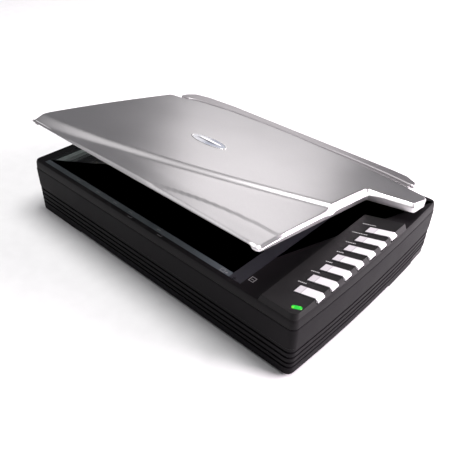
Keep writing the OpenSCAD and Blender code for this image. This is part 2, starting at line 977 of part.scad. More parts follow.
module lid_shell() {
    rim = lid_pts();
    plateau = plateau_pts();
    crown = scale_pts(plateau, lid_middle, 0.8);
    wall = lid_bevel + lid_skin;
    on_lid() color([0.75, 0.74, 0.74])
        difference() {
            union() {
                slab(lid_rim_z, lid_rim_top_z)
                    polygon(rim);
                slab(lid_rim_top_z - 1, lid_bevel_top_z)
                    polygon(inset_pts(rim, lid_bevel * 0.4));
                slab(lid_bevel_top_z - 1, lid_ledge_top_z)
                    polygon(inset_pts(rim, lid_bevel * 0.8));
                slab(lid_ledge_top_z - 1, lid_top_z)
                    polygon(plateau);
                slab(lid_top_z - 1, lid_crown_z)
                    polygon(crown);
            }
            slab(lid_rim_z - touch, lid_shelf_z)
                polygon(inset_pts(rim, lid_skin));
            slab(lid_shelf_z - 1, lid_ceiling_z)
                polygon(inset_pts(rim, wall));
            intersection() {
                slab(lid_ceiling_z - 1.5, lid_top_z - lid_skin)
                    polygon(inset_pts(plateau, wall));
                slab(lid_shelf_z - 2, lid_top_z)
                    polygon(inset_pts(rim, wall + 0.5));
            }
        }
}

// The liner lies against the shell's shelf; its left corners are cut to clear the shell's rounded ones
module lid_liner() {
    left = lid_left + lid_skin + 0.5;
    right = notch[0] - lid_skin - 0.5;
    front = lid_front + 5;
    back = lid_back - 14;
    on_lid() color([0.85, 0.85, 0.84])
        slab(liner_z, lid_shelf_z)
            polygon([
                [left + front_cut, front],
                [right, front],
                [right, back],
                [left + back_cut[0], back],
                [left, back - back_cut[1]],
                [left, front + front_cut]
            ]);
}

module document_pad() {
    on_lid() color([0.95, 0.95, 0.94])
        block([glass_left + 6, glass_front + 6, bezel_z + 0.1], [glass_right - 6, glass_back - 6, liner_z]);
}

module hinge_cover() {
    t = cover_t;
    on_lid() color([0.66, 0.65, 0.66])
        intersection() {
            slab(100, 130)
                polygon(cover_pts());
            side_view(-half_w, half_w)
                polygon([[140, cover_top_z - t], [198, cover_top_z - t], [203, 116], [cover_back - t, cover_lip_z],
                         [cover_back, cover_lip_z], [205.6, 117], [200, cover_top_z], [140, cover_top_z]]);
        }
}

module lid_badge() {
    on_lid() color([0.45, 0.5, 0.58])
        slab(lid_crown_z, lid_crown_z + 0.8)
            polygon([for (k = [0:35]) [-47 + 40 * cos(10 * k), -3 + 16 * sin(10 * k)]]);
}

module lid_bumpers() {
    on_lid() color([0.08, 0.08, 0.08])
        for (p = [[-279, -181, liner_z], [208, -181, liner_z], [-281, 118, liner_z], [278, 118, lid_shelf_z]])
            block([p[0] - 4, p[1] - 3, bezel_z + 0.4], [p[0] + 4, p[1] + 3, p[2]]);
}

// Buttons ------------------------------------------------------------------------------------

function button_y(i) = first_button_y + i * button_pitch;
function button_slope(i) = tan(slant_first + (slant_last - slant_first) * i / (button_count - 1));
function button_x(i) = first_button_x + (last_button_x - first_button_x) * i / (button_count - 1);
function button_mid_y(i) = button_y(i) - button_w / 2 + (switch_x - button_x(i)) * button_slope(i);
function button_tip(i) = panel_right[1] + 4.2 - bow(button_y(i), 4);

// Plan of a button, wider all round by e
function button_plan(i, e) =
    let(x0 = button_x(i) - e, x1 = button_tip(i) + (e > 0 ? 10 : 0),
        y0 = button_y(i), s = button_slope(i))
    [[x0, y0 - button_w - e], [x1, y0 - button_w - e + (x1 - x0) * s],
     [x1, y0 + e + (x1 - x0) * s], [x0, y0 + e]];

module button(i) {
    tip = button_tip(i);
    bend = tip - 4;
    on_body() color([0.93, 0.92, 0.93]) {
        intersection() {
            slab(100, 120)
                polygon(button_plan(i, 0));
            front_view(-half_d, half_d)
                polygon([[240, 105.6], [bend - 4, 105.6], [bend - 1, 104.4], [tip, 104.4],
                         [tip, 107.4], [bend, cap_z], [240, cap_z]]);
        }
        intersection() {
            slab(105.2, 107.4)
                polygon(button_plan(i, 1.6));
            block([240, -half_d, 0], [bend - 5, half_d, 200]);
        }
        translate([switch_x, button_mid_y(i), stem_z])
            cylinder(r = 2, h = 6);
    }
}

module button_1() { button(0); }
module button_2() { button(1); }
module button_3() { button(2); }
module button_4() { button(3); }
module button_5() { button(4); }
module button_6() { button(5); }
module button_7() { button(6); }

lower_housing();
upper_housing();
button_panel();
scan_glass();
glass_gasket();
front_ruler();
side_ruler();
calibration_strip();
status_led();
rubber_feet();
housing_screws();
main_board();
board_chips();
button_board();
tact_switches();
guide_rod();
rod_clamps();
support_rail();
stepper_motor();
motor_bracket();
drive_belt();
idler_bracket();
belt_spring();
port_plate();
usb_socket();
dc_jack();
switch_frame();
hinge_sockets();
carriage_housing();
carriage_cover();
lamp_tube();
lamp_reflector();
mirrors();
lens_barrel();
sensor_board();
sensor_chip();
carriage_bushings();
glide_pad();
belt_clip();
drive_gear();
motor_pinion();
idler_pulley();
power_switch();
transport_lock();
hinge_posts();
lid_shell();
lid_liner();
document_pad();
hinge_cover();
hinge_brackets();
hinge_pins();
lid_badge();
lid_bumpers();
button_1();
button_2();
button_3();
button_4();
button_5();
button_6();
button_7();
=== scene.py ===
# A3 flatbed scanner with its lid partly open. Lengths here are millimetres in the body's own frame,
# whose origin is under the middle of the body. BODY turns them into metres in the CAD frame, and LID also
# opens the lid.
import json
import math

import bmesh
import bpy
from mathutils import Matrix, Quaternion, Vector
from mathutils.geometry import delaunay_2d_cdt


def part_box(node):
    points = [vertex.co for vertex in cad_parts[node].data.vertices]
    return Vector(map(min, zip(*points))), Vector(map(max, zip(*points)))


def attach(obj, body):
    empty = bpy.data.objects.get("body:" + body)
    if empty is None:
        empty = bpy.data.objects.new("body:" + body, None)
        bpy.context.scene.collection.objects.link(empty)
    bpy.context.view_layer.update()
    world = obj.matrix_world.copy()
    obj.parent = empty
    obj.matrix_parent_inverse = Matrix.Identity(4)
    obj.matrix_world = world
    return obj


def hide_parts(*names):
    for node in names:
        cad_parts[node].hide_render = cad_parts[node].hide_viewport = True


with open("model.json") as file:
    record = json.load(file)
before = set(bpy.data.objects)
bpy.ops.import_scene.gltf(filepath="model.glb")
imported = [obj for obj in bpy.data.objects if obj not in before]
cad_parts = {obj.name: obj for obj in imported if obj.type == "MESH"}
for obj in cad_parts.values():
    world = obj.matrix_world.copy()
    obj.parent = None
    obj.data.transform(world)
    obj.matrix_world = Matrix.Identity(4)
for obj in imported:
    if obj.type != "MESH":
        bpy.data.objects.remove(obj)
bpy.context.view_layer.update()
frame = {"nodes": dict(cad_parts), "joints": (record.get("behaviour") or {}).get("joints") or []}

# Places taken from the frame ----------------------------------------------------------------

MM = 0.001
body_low, body_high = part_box("lower_housing")
BODY_SHIFT = (body_low.y + body_high.y) / 2
hinge = next(j for j in frame["joints"] if j["name"] == "lid_hinge")
LID_AXIS = Vector((0, hinge["pos_m"][1], hinge["pos_m"][2]))
LID_OPEN = -math.radians(hinge["range_deg"][0])
OPEN_LID = Matrix.Translation(LID_AXIS) @ Matrix.Rotation(-LID_OPEN, 4, "X") @ Matrix.Translation(-LID_AXIS)
BODY = Matrix.Translation((0, BODY_SHIFT, 0)) @ Matrix.Scale(MM, 4)
LID = OPEN_LID @ BODY
PANEL_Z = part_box("button_panel")[1].z / MM
BEZEL_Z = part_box("upper_housing")[1].z / MM
RULER_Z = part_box("front_ruler")[1].z / MM


# Mesh helpers -------------------------------------------------------------------------------


def finish_piece(obj, material, body, replaced=(), smooth_angle=32.0):
    """Smooth shading with crisp edges, a material, a body to ride on and the CAD nodes it stands for."""
    mesh = obj.data
    mesh.shade_smooth()
    mesh.set_sharp_from_angle(angle=math.radians(smooth_angle))
    normals = obj.modifiers.new("even_normals", "WEIGHTED_NORMAL")
    normals.keep_sharp = True
    mesh.materials.clear()
    mesh.materials.append(material)
    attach(obj, body)
    if replaced:
        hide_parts(*replaced)
    return obj


def mesh_object(name, points, faces, matrix):
    mesh = bpy.data.meshes.new(name)
    mesh.from_pydata([matrix @ Vector(p) for p in points], [], faces)
    mesh.update()
    obj = bpy.data.objects.new(name, mesh)
    bpy.context.scene.collection.objects.link(obj)
    return obj


def unit(v):
    return v / v.length


def miters(outline):
    """For each point of a counter-clockwise outline, the step that moves its edges inwards by one."""
    steps = []
    count = len(outline)
    for i, here in enumerate(outline):
        along = unit(here - outline[i - 1])
        onward = unit(outline[(i + 1) % count] - here)
        n1 = Vector((-along.y, along.x))
        n2 = Vector((-onward.y, onward.x))
        m = unit(n1 + n2)
        steps.append(m / max(m.dot(n1), 0.3))
    return steps


def rounded(corners, arc_step=12.0, spacing=4.0):
    """A counter-clockwise outline from (x, y, radius) corners, with points about spacing apart."""
    points = []
    count = len(corners)
    for i, (x, y, radius) in enumerate(corners):
        here = Vector((x, y))
        before = Vector(corners[i - 1][:2])
        after = Vector(corners[(i + 1) % count][:2])
        a, b = unit(before - here), unit(after - here)
        half = a.angle(b) / 2
        if radius <= 0 or half > 1.55:
            points.append(here)
            continue
        cut = radius / math.tan(half)
        centre = here + unit(a + b) * radius / math.sin(half)
        start = here + a * cut - centre
        turn = start.angle_signed(here + b * cut - centre)
        steps = max(2, round(abs(math.degrees(turn)) / arc_step))
        for k in range(steps + 1):
            angle = -turn * k / steps
            spun = Matrix.Rotation(angle, 2) @ start
            points.append(centre + spun)
    even = []
    for i, p in enumerate(points):
        nxt = points[(i + 1) % len(points)]
        parts = max(1, round((nxt - p).length / spacing))
        even += [p.lerp(nxt, k / parts) for k in range(parts)]
    return even


def cap(boundary, spacing, margin):
    """Triangles that fill an outline over a grid of inner points: the inner points, then the faces."""
    xs = [p.x for p in boundary]
    ys = [p.y for p in boundary]
    near = {}
    for p in boundary:
        near.setdefault((int(p.x // 20), int(p.y // 20)), []).append(p)

    def clear(q):
        cx, cy = int(q.x // 20), int(q.y // 20)
        cells = [near.get((cx + i, cy + j), ()) for i in (-1, 0, 1) for j in (-1, 0, 1)]
        return all((q - p).length > margin for cell in cells for p in cell)

    grid = []
    rows = int((max(ys) - min(ys)) / spacing)
    columns = int((max(xs) - min(xs)) / spacing)
    for j in range(rows + 1):
        for i in range(columns + 1):
            q = Vector((min(xs) + (i + 0.5 * (j % 2)) * spacing, min(ys) + j * spacing))
            if inside(q, boundary) and clear(q):
                grid.append(q)
    count = len(boundary)
    out = delaunay_2d_cdt(list(boundary) + grid, [], [list(range(count))], 1, 1e-5)
    faces, origin = out[2], out[3]
    index = [o[0] for o in origin]
    return grid, [[index[v] for v in face] for face in faces]


def inside(q, outline):
    hit = False
    j = len(outline) - 1
    for i, p in enumerate(outline):
        r = outline[j]
        if (p.y > q.y) != (r.y > q.y) and q.x < (r.x - p.x) * (q.y - p.y) / (r.y - p.y) + p.x:
            hit = not hit
        j = i
    return hit


def closed_shell(name, outline, rings, top, under, matrix, spacing=3.0, under_spacing=20.0):
    """A closed shell. rings(i, p, step) lists the points (x, y, z) that climb from the inner lower edge of the
    wall to the edge of the top surface, the same number at every outline point."""
    steps = miters(outline)
    columns = [rings(i, p, steps[i]) for i, p in enumerate(outline)]
    count, levels = len(columns), len(columns[0])
    points = [columns[i][k] for k in range(levels) for i in range(count)]
    faces = []
    for k in range(levels - 1):
        for i in range(count):
            j = (i + 1) % count
            faces.append([k * count + i, k * count + j, (k + 1) * count + j, (k + 1) * count + i])
    for level, gap, height, flip in ((levels - 1, spacing, top, False), (0, under_spacing, under, True)):
        edge = [Vector(columns[i][level][:2]) for i in range(count)]
        grid, triangles = cap(edge, gap, gap * 0.6)
        base = len(points)
        points += [(q.x, q.y, height(q.x, q.y)) for q in grid]
        for triangle in triangles:
            face = [level * count + v if v < count else base + v - count for v in triangle]
            faces.append(face[::-1] if flip else face)
    return mesh_object(name, points, faces, matrix)


def softened(node, name, width, material, body, angle=28.0, segments=2, smooth_angle=32.0):
    """A copy of a CAD node with its facets shaded smooth and its sharp edges rounded by width."""
    mesh = frame["nodes"][node].data.copy()
    mesh.name = name
    if "custom_normal" in mesh.attributes:
        mesh.attributes.remove(mesh.attributes["custom_normal"])
    bm = bmesh.new()
    bm.from_mesh(mesh)
    bmesh.ops.remove_doubles(bm, verts=bm.verts, dist=0.01 * MM)
    bmesh.ops.dissolve_limit(bm, angle_limit=math.radians(0.6), verts=bm.verts, edges=bm.edges)
    bm.to_mesh(mesh)
    bm.free()
    obj = bpy.data.objects.new(name, mesh)
    bpy.context.scene.collection.objects.link(obj)
    if width > 0:
        bevel = obj.modifiers.new("rounded_edges", "BEVEL")
        bevel.width = width * MM
        bevel.segments = segments
        bevel.limit_method = "ANGLE"
        bevel.angle_limit = math.radians(angle)
        bevel.use_clamp_overlap = True
        bevel.harden_normals = False
    return finish_piece(obj, material, body, (node,), smooth_angle)


def smoothstep(t):
    t = min(max(t, 0.0), 1.0)
    return t * t * (3 - 2 * t)


def curve_through(points, count):
    """Catmull-Rom points through a few (x, y) places."""
    pts = [Vector(p) for p in points]
    pts = [pts[0] * 2 - pts[1]] + pts + [pts[-1] * 2 - pts[-2]]
    out = []
    spans = len(pts) - 3
    for k in range(count + 1):
        u = spans * k / count
        i = min(int(u), spans - 1)
        t = u - i
        a, b, c, d = pts[i : i + 4]
        out.append(
            0.5 * ((2 * b) + (c - a) * t + (2 * a - 5 * b + 4 * c - d) * t * t + (3 * b - a - 3 * c + d) * t ** 3)
        )
    return out


# Materials ----------------------------------------------------------------------------------


def surface(name, colour, second, rough, rough_spread=0.08, grain=900.0, bump=0.02, patch=40.0, metallic=0.0,
            specular=0.5, coat=0.0):
    """A procedural surface: two tones mixed by noise, uneven roughness and a fine grain in the normal."""
    material = bpy.data.materials.new(name)
    material.use_nodes = True
    nodes, links = material.node_tree.nodes, material.node_tree.links
    shader = nodes["Principled BSDF"]
    shader.inputs["Metallic"].default_value = metallic
    shader.inputs["Specular IOR Level"].default_value = specular
    shader.inputs["Coat Weight"].default_value = coat
    place = nodes.new("ShaderNodeTexCoord")
    fine = nodes.new("ShaderNodeTexNoise")
    fine.inputs["Scale"].default_value = grain
    fine.inputs["Detail"].default_value = 3.0
    broad = nodes.new("ShaderNodeTexNoise")
    broad.inputs["Scale"].default_value = patch
    broad.inputs["Detail"].default_value = 4.0
    links.new(place.outputs["Object"], fine.inputs["Vector"])
    links.new(place.outputs["Object"], broad.inputs["Vector"])
    tones = nodes.new("ShaderNodeValToRGB")
    tones.color_ramp.elements[0].position = 0.35
    tones.color_ramp.elements[0].color = (*colour, 1)
    tones.color_ramp.elements[1].position = 0.65
    tones.color_ramp.elements[1].color = (*second, 1)
    blend = nodes.new("ShaderNodeMath")
    blend.operation = "MULTIPLY_ADD"
    blend.inputs[1].default_value = 0.6
    links.new(fine.outputs["Fac"], blend.inputs[0])
    scale = nodes.new("ShaderNodeMath")
    scale.operation = "MULTIPLY"
    scale.inputs[1].default_value = 0.4
    links.new(broad.outputs["Fac"], scale.inputs[0])
    links.new(scale.outputs[0], blend.inputs[2])
    links.new(blend.outputs[0], tones.inputs["Fac"])
    links.new(tones.outputs["Color"], shader.inputs["Base Color"])
    uneven = nodes.new("ShaderNodeMapRange")
    uneven.inputs["To Min"].default_value = rough - rough_spread
    uneven.inputs["To Max"].default_value = rough + rough_spread
    links.new(broad.outputs["Fac"], uneven.inputs["Value"])
    links.new(uneven.outputs["Result"], shader.inputs["Roughness"])
    relief = nodes.new("ShaderNodeBump")
    relief.inputs["Strength"].default_value = 1.0
    relief.inputs["Distance"].default_value = bump * MM
    links.new(fine.outputs["Fac"], relief.inputs["Height"])
    links.new(relief.outputs["Normal"], shader.inputs["Normal"])
    return material


def grey(level):
    return (level, level, level)


BLACK_SHELL = surface(
    "black_shell", (0.0046, 0.0038, 0.0048), (0.0062, 0.0052, 0.0064), 0.5, 0.05, 1400, 0.05, specular=0.06
)
BLACK_CAP = surface(
    "black_cap", (0.0056, 0.0048, 0.0056), (0.0074, 0.0064, 0.0074), 0.45, 0.05, 1400, 0.04, specular=0.1
)
PANEL = surface(
    "panel_black", (0.0045, 0.0038, 0.0043), (0.0060, 0.0052, 0.0058), 0.42, 0.05, 1600, 0.03, specular=0.2
)
SILVER = surface(
    "lid_silver", (0.56, 0.545, 0.55), (0.66, 0.645, 0.65), 0.32, 0.03, 1300, 0.03, 8, 1.0
)
# Painted shade: the rear cover takes the lid's silver painted darker, for the shade on its rearward slope.
SHADED_COVER_SILVER = surface(
    "cover_silver", (0.42, 0.40, 0.41), (0.50, 0.48, 0.49), 0.36, 0.03, 1300, 0.03, 8, 1.0
)
RULER_BLUE = surface(
    "ruler_blue_grey", (0.060, 0.076, 0.086), (0.072, 0.088, 0.098), 0.45, 0.05, 700, 0.01
)
RULER_DARK = surface(
    "ruler_dark_grey", (0.016, 0.016, 0.021), (0.020, 0.020, 0.026), 0.42, 0.05, 700, 0.01
)
MARK = surface("printed_marks", grey(0.22), grey(0.27), 0.6, 0.05, 900, 0.01)
LABEL = surface("printed_labels", grey(0.38), grey(0.46), 0.6, 0.05, 900, 0.01)
RUBBER = surface("black_rubber", grey(0.010), grey(0.016), 0.75, 0.06, 900, 0.08)
STEEL = surface("zinc_steel", grey(0.50), grey(0.62), 0.32, 0.08, 500, 0.02, 60, 1.0)
POLISHED = surface("polished_steel", grey(0.66), grey(0.72), 0.14, 0.04, 300, 0.005, 60, 1.0)
MOTOR = surface("motor_can", grey(0.26), grey(0.32), 0.4, 0.06, 600, 0.02, 60, 0.8)
BOARD = surface("solder_mask", (0.010, 0.10, 0.035), (0.014, 0.14, 0.05), 0.35, 0.08, 400, 0.02, 120)
CHIP = surface("component_black", grey(0.020), grey(0.030), 0.5, 0.06, 900, 0.03)
BELT = surface("belt_rubber", grey(0.012), grey(0.020), 0.7, 0.06, 900, 0.05)
DARK_PLASTIC = surface("dark_plastic", grey(0.018), grey(0.026), 0.45, 0.06, 1200, 0.04)
PORT_METAL = surface("tinned_shell", grey(0.52), grey(0.62), 0.28, 0.06, 400, 0.02, 60, 1.0)
CARRIAGE = surface("carriage_black", grey(0.020), grey(0.028), 0.5, 0.06, 900, 0.04)
# Painted light: the carriage cover's brown-grey is painted much lighter. This stands in for the light that barely
# reaches it under the lid and glass.
CARRIAGE_TOP_PAINTED_LIGHT = surface(
    "carriage_brown_grey_painted_light", (0.36, 0.33, 0.27), (0.42, 0.385, 0.32), 0.5, 0.05, 900, 0.03
)
LAMP = surface("lamp_phosphor", (0.85, 0.86, 0.82), (0.90, 0.90, 0.87), 0.3, 0.05, 300, 0.005)
FOIL = surface("reflector_foil", grey(0.75), grey(0.82), 0.18, 0.06, 300, 0.02, 60, 1.0)
MIRROR = surface("mirror_silver", grey(0.80), grey(0.86), 0.04, 0.02, 200, 0.001, 60, 1.0)
BRONZE = surface("sintered_bronze", (0.52, 0.36, 0.16), (0.62, 0.44, 0.20), 0.38, 0.06, 900, 0.04, 60, 1.0)
BRASS = surface("machined_brass", (0.60, 0.46, 0.18), (0.68, 0.53, 0.22), 0.25, 0.05, 300, 0.01, 60, 1.0)
ACETAL = surface("white_acetal", (0.68, 0.66, 0.58), (0.74, 0.72, 0.64), 0.42, 0.05, 500, 0.01)
ORANGE = surface("lock_orange", (0.62, 0.20, 0.03), (0.70, 0.25, 0.04), 0.42, 0.05, 700, 0.02)
LINER = surface("liner_grey", grey(0.55), grey(0.62), 0.5, 0.05, 700, 0.02)
WHITE_STRIP = surface("white_strip", grey(0.80), grey(0.84), 0.7, 0.04, 700, 0.005)
FOAM = surface("gasket_foam", grey(0.014), grey(0.022), 0.9, 0.05, 1500, 0.1)
BADGE_RIM = surface("badge_rim", grey(0.70), grey(0.78), 0.22, 0.04, 400, 0.005, 60, 0.9)
BADGE_STRIPE = surface("badge_stripe", grey(0.80), grey(0.86), 0.3, 0.04, 400, 0.005, 60, 0.3)
PAD = surface("pad_film", (0.82, 0.82, 0.80), (0.88, 0.88, 0.86), 0.55, 0.06, 350, 0.05)


def banded(name, base, stops, axis, low, high):
    """Tones that follow a place along an axis of the CAD frame, as (share, colour) stops, over a fine grain."""
    material = base.copy()
    material.name = name
    nodes, links = material.node_tree.nodes, material.node_tree.links
    shader = nodes["Principled BSDF"]
    place = nodes.new("ShaderNodeTexCoord")
    split = nodes.new("ShaderNodeSeparateXYZ")
    along = nodes.new("ShaderNodeMapRange")
    along.inputs["From Min"].default_value = low
    along.inputs["From Max"].default_value = high
    links.new(place.outputs["Object"], split.inputs["Vector"])
    links.new(split.outputs[axis], along.inputs["Value"])
    tones = nodes.new("ShaderNodeValToRGB")
    tones.color_ramp.interpolation = "LINEAR"
    ramp = tones.color_ramp.elements
    ramp[0].position, ramp[0].color = stops[0][0], (*stops[0][1], 1)
    ramp[1].position, ramp[1].color = stops[-1][0], (*stops[-1][1], 1)
    for share, colour in stops[1:-1]:
        ramp.new(share).color = (*colour, 1)
    links.new(along.outputs["Result"], tones.inputs["Fac"])
    mixed = nodes.new("ShaderNodeMix")
    mixed.data_type = "RGBA"
    mixed.blend_type = "MULTIPLY"
    mixed.inputs["Factor"].default_value = 1.0
    old = shader.inputs["Base Color"].links[0].from_socket
    links.new(old, mixed.inputs[6])
    links.new(tones.outputs["Color"], mixed.inputs[7])
    links.new(mixed.outputs[2], shader.inputs["Base Color"])
    return material


def glass_material():
    """Float glass: mostly see-through, mirrors more at a flat angle."""
    material = bpy.data.materials.new("platen_glass")
    material.use_nodes = True
    nodes, links = material.node_tree.nodes, material.node_tree.links
    nodes.clear()
    out = nodes.new("ShaderNodeOutputMaterial")
    mix = nodes.new("ShaderNodeMixShader")
    clear = nodes.new("ShaderNodeBsdfTransparent")
    mirror = nodes.new("ShaderNodeBsdfGlossy")
    fresnel = nodes.new("ShaderNodeFresnel")
    dust = nodes.new("ShaderNodeTexNoise")
    haze = nodes.new("ShaderNodeMapRange")
    place = nodes.new("ShaderNodeTexCoord")
    fresnel.inputs["IOR"].default_value = 1.45
    clear.inputs["Color"].default_value = (0.82, 0.86, 0.85, 1)
    mirror.inputs["Color"].default_value = (0.8, 0.8, 0.8, 1)
    dust.inputs["Scale"].default_value = 60.0
    haze.inputs["To Min"].default_value = 0.015
    haze.inputs["To Max"].default_value = 0.05
    links.new(place.outputs["Object"], dust.inputs["Vector"])
    links.new(dust.outputs["Fac"], haze.inputs["Value"])
    links.new(haze.outputs["Result"], mirror.inputs["Roughness"])
    links.new(fresnel.outputs["Fac"], mix.inputs["Fac"])
    links.new(clear.outputs["BSDF"], mix.inputs[1])
    links.new(mirror.outputs["BSDF"], mix.inputs[2])
    links.new(mix.outputs["Shader"], out.inputs["Surface"])
    return material


def led_material():
    """Green light pipe, lit, with yellow hot spots."""
    material = surface("led_green", (0.01, 0.30, 0.02), (0.02, 0.45, 0.04), 0.2, 0.04, 500, 0.01)
    nodes, links = material.node_tree.nodes, material.node_tree.links
    shader = nodes["Principled BSDF"]
    place = nodes.new("ShaderNodeTexCoord")
    spots = nodes.new("ShaderNodeTexNoise")
    spots.inputs["Scale"].default_value = 260.0
    spots.inputs["Detail"].default_value = 0.0
    tones = nodes.new("ShaderNodeValToRGB")
    ramp = tones.color_ramp.elements
    ramp[0].position, ramp[0].color = 0.42, (0.0, 0.16, 0.01, 1)
    ramp[1].position, ramp[1].color = 0.66, (0.55, 0.75, 0.02, 1)
    ramp.new(0.54).color = (0.01, 0.48, 0.03, 1)
    links.new(place.outputs["Object"], spots.inputs["Vector"])
    links.new(spots.outputs["Fac"], tones.inputs["Fac"])
    links.new(tones.outputs["Color"], shader.inputs["Emission Color"])
    shader.inputs["Emission Strength"].default_value = 0.3
    return material


GLASS = glass_material()
LED = led_material()
BUTTON_BASE = surface("button_plastic", (0.50, 0.485, 0.50), (0.55, 0.54, 0.55), 0.35, 0.05, 900, 0.01)
# Painted shade: X of a painted shaded line across each button.
SHADE_LINE_X = 264.6
BUTTON_LOW_X = 250.0
BUTTON_HIGH_X = 292.0


def share_x(x):
    return (x - BUTTON_LOW_X) / (BUTTON_HIGH_X - BUTTON_LOW_X)


# Painted light and shade: each button is painted a darker tone left of X 264.6 mm, with a painted shaded line
# there, and full white to the right, the lit side.
BUTTON_PAINTED_LIGHT = banded(
    "button_white",
    BUTTON_BASE,
    [
        (0.0, (0.80, 0.79, 0.80)),
        (share_x(SHADE_LINE_X - 0.7), (0.80, 0.79, 0.80)),
        (share_x(SHADE_LINE_X - 0.3), (0.55, 0.54, 0.55)),
        (share_x(SHADE_LINE_X + 0.3), (0.55, 0.54, 0.55)),
        (share_x(SHADE_LINE_X + 0.7), (1.0, 1.0, 1.0)),
        (1.0, (1.0, 1.0, 1.0)),
    ],
    "X",
    BUTTON_LOW_X * MM,
    BUTTON_HIGH_X * MM,
)


# Lid ----------------------------------------------------------------------------------------
# Drawn closed, then turned open by the LID matrix.

LID_LEFT = -290.5
LID_RIGHT = 220.0
LID_FRONT = -188.0
LID_BACK = 165.0
RIM_Z = 102.4
INNER_Z = 106.6
NOTCH = (217.3, 80.6)
ARM = (285.8, 106.4)
BACK_EDGE = [(252, 159.6), (190, 168), (100, 175), (12, 178), (-70, 177), (-157, 171), (-229, 157), (-262, 139.5)]


STEP_START_Y = -172
STEP_RISE = 160
STEP_POWER = 1.6
CREASE_START_X = 223


def step_line(x):
    """Where the slanted step crosses the lid."""
    u = max((x + 290) / 505, 0.0)
    return STEP_START_Y + STEP_RISE * u ** STEP_POWER


def crease_line(x):
    """The shallow second crease, which leaves the front edge and runs to the right edge."""
    return -144 - 44 * ((CREASE_START_X - x) / CREASE_START_X) ** 2


def lid_top(x, y):
    u = (x + 35) / 255
    v = (y + 5) / 183
    z = 121.0 - (2.6 if u > 0 else 2.0) * u * u - (3.4 if v < 0 else 2.0) * v * v
    s = min(max((x + 290) / 505, 0.0), 1.0)
    slope = 0.507 * max(s, 0.001) ** 0.6
    ahead = (step_line(x) - y) / math.hypot(1, slope)
    width = 24 - 10 * s
    z -= (5 + 3 * (1 - s) ** 3) * smoothstep((ahead + 0.3 * width) / width)
    z -= (1 + 2 * (1 - s) ** 2) * smoothstep((-150 - y) / 38)
    if x > -110:
        ahead = crease_line(x) - y
        z -= 1.1 * smoothstep((ahead + 0.6) / 2.6)
    return z


def lid_outline():
    corners = [
        (LID_LEFT, LID_FRONT, 3.5),
        (LID_RIGHT, LID_FRONT, 7.5),
        (*NOTCH, 2.5),
        (*ARM, 7),
        (284.7, 156.0, 15),
    ]
    corners += [(x, y, 30) for x, y in BACK_EDGE[:-1]]
    corners += [(*BACK_EDGE[-1], 12), (LID_LEFT + 1, 134.8, 9)]
    return rounded(corners)


def bevel_at(p):
    """Width and height of the bevel round the lid at an outline point."""
    if p.y > 125:
        return 2.6, 2.2
    if p.x < LID_LEFT + 6 and p.y > LID_FRONT + 12:
        return 3.0, 3.0
    if p.y < LID_FRONT + 7:
        left = smoothstep((p.x - LID_LEFT) / 90)
        right = smoothstep((p.x - 190) / 28)
        return 1.6 + 2.2 * left + 0.7 * right, 1.0 + 2.6 * left - 0.8 * right
    if p.y > NOTCH[1] + 2 and p.x > LID_RIGHT - 4:
        return 5.0, 5.2
    behind_crease = smoothstep((p.y + 148) / 8)
    behind_step = smoothstep((p.y + 52) / 42)
    return 5.6 - 2.0 * behind_crease + 4.6 * behind_step, 2.3 + 1.0 * behind_crease + 4.8 * behind_step


def rim_foot(p):
    """Height of the rim's lower edge: raised along the front between the two corner feet."""
    if p.y > LID_FRONT + 4:
        return RIM_Z
    if p.x < 0:
        return RIM_Z + 3.2
    return RIM_Z - 0.6 + 3.8 * smoothstep((LID_RIGHT - p.x - 13) / 3)


def build_lid():
    outline = lid_outline()
    count = len(outline)
    sizes = [bevel_at(p) for p in outline]
    reach = 2
    sizes = [
        tuple(sum(sizes[(i + k) % count][c] for k in range(-reach, reach + 1)) / (2 * reach + 1) for c in (0, 1))
        for i in range(count)
    ]

    def rings(i, p, step):
        width, height = sizes[i]
        foot = rim_foot(p)
        edge = p + step * width
        top = lid_top(edge.x, edge.y)
        shoulder = max(top - height, foot + 1.6)
        lean = (top - shoulder) / width

        def at(inset, z):
            q = p + step * inset
            return (q.x, min(q.y, LID_BACK - inset) if z < 112.9 else q.y, z)

        inner = edge + step * 0.7
        return [
            at(2.4, INNER_Z),
            at(2.4, foot),
            at(0.5, foot),
            at(0.0, foot + 0.5),
            at(0.0, min(shoulder - 0.45, 112.8)),
            at(0.0, shoulder - 0.4) if shoulder > 113.3 else at(0.02, shoulder - 0.4),
            at(0.16, shoulder + 0.16 * lean - 0.02),
            at(0.55, shoulder + 0.55 * lean),
            at(width - 0.7, top - 0.7 * lean),
            at(width - 0.1, top - 0.1 * lean - 0.08),
            (inner.x, inner.y, lid_top(inner.x, inner.y)),
        ]

    obj = closed_shell("lid_top_shell", outline, rings, lid_top, lambda x, y: INNER_Z, LID, 3.2, 25.0)
    return finish_piece(obj, SILVER, "lid", ("lid_shell",), 50.0)


build_lid()

# Rear cover, a crescent behind the lid's bowed back edge: a ledge, and a rounded cap set back from it by a valley
COVER_BACK = 207.0
COVER_LIP = 112.5
COVER_TOP = 119.3
LEDGE_TOP = 116.7
LEDGE_FOOT = 113.4


def behind_lid(gap, x_low, x_high):
    """Points along the lid's back edge, moved back by gap(x)."""
    line = curve_through(BACK_EDGE[::-1], 64)
    return [p + Vector((0, gap(p.x))) for p in line if x_low < p.x < x_high]


def valley(x):
    return 1.6 + 6.6 * smoothstep((x - 10) / 220)


